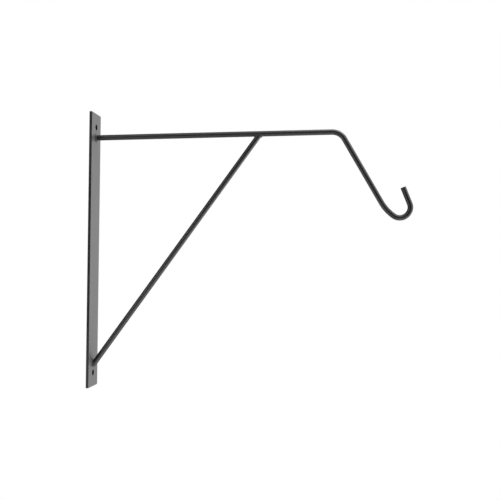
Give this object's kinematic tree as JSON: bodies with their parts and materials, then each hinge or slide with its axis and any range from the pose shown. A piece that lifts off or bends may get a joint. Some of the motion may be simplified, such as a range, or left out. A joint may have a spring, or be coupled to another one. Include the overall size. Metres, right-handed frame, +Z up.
{
  "type": "wall hook",
  "caption": "Welded wall bracket: a flat bar back plate with screw holes, a round bar arm bent down into an open hook, and a slanting brace.",
  "frame": {"origin": "middle of the back plate's rear face, which lies against the wall", "axes": "+X out of the wall along the arm, +Z up the plate, Y across the plate"},
  "size_m": [0.3474, 0.03, 0.3],
  "materials": {
    "plate_coat": "satin black powder coat",
    "bar_coat": "satin black powder coat",
    "weld_coat": "satin black powder coat over rippled weld metal"
  },
  "bodies": {
    "root": {"back_plate": "plate_coat", "top_arm": "bar_coat", "brace": "bar_coat", "arm_root_weld": "weld_coat", "brace_foot_weld": "weld_coat", "brace_top_weld": "weld_coat"}
  },
  "joints": []
}
